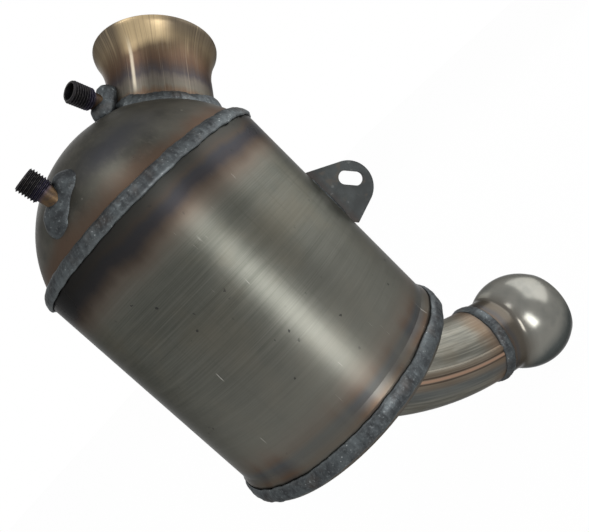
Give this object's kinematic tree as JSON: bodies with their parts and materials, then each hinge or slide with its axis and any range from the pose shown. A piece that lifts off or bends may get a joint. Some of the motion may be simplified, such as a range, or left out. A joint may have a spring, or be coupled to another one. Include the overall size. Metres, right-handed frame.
{
  "type": "diesel particulate filter",
  "caption": "Welded steel diesel particulate filter: canister, domed inlet with bell mouth, bent outlet pipe with ball end, sensor stubs and a slotted bracket.",
  "frame": {"origin": "on the inlet neck's axis, where its bore opens into the bell", "axes": "+Z along the canister's axis towards the inlet; +X the way the neck leans"},
  "size_m": [0.2451, 0.1726, 0.384],
  "materials": {
    "brushed_shell": "brushed, heat tinted beside the welds",
    "tinted_cone": "heat tinted, satin",
    "tinted_neck": "heat tinted straw to brown, axial brushing",
    "outlet_tube": "polished along its length",
    "weld": "as welded, blue grey",
    "dark_stub": "dark heat scale",
    "dark_bracket": "dull mill scale",
    "ceramic": "porous",
    "cement": "matt",
    "mat": "fibrous",
    "wire": "knitted wire"
  },
  "bodies": {
    "root": {"canister_shell": "brushed_shell", "canister_seam_weld": "weld", "inlet_cone": "tinted_cone", "inlet_shell_weld": "weld", "inlet_bell": "tinted_neck", "inlet_neck_weld": "weld", "upper_stub": "dark_stub", "upper_stub_weld": "weld", "lower_stub": "dark_stub", "lower_stub_weld": "weld", "outlet_cover": "brushed_shell", "outlet_shell_weld": "weld", "outlet_pipe": "outlet_tube", "outlet_pipe_weld": "weld", "outlet_ball": "outlet_tube", "outlet_ball_weld": "weld", "mounting_bracket": "dark_bracket", "bracket_welds": "weld", "filter_segments": "ceramic", "segment_cement": "cement", "support_mat": "mat", "inlet_wire_ring": "wire", "outlet_wire_ring": "wire"}
  },
  "joints": []
}
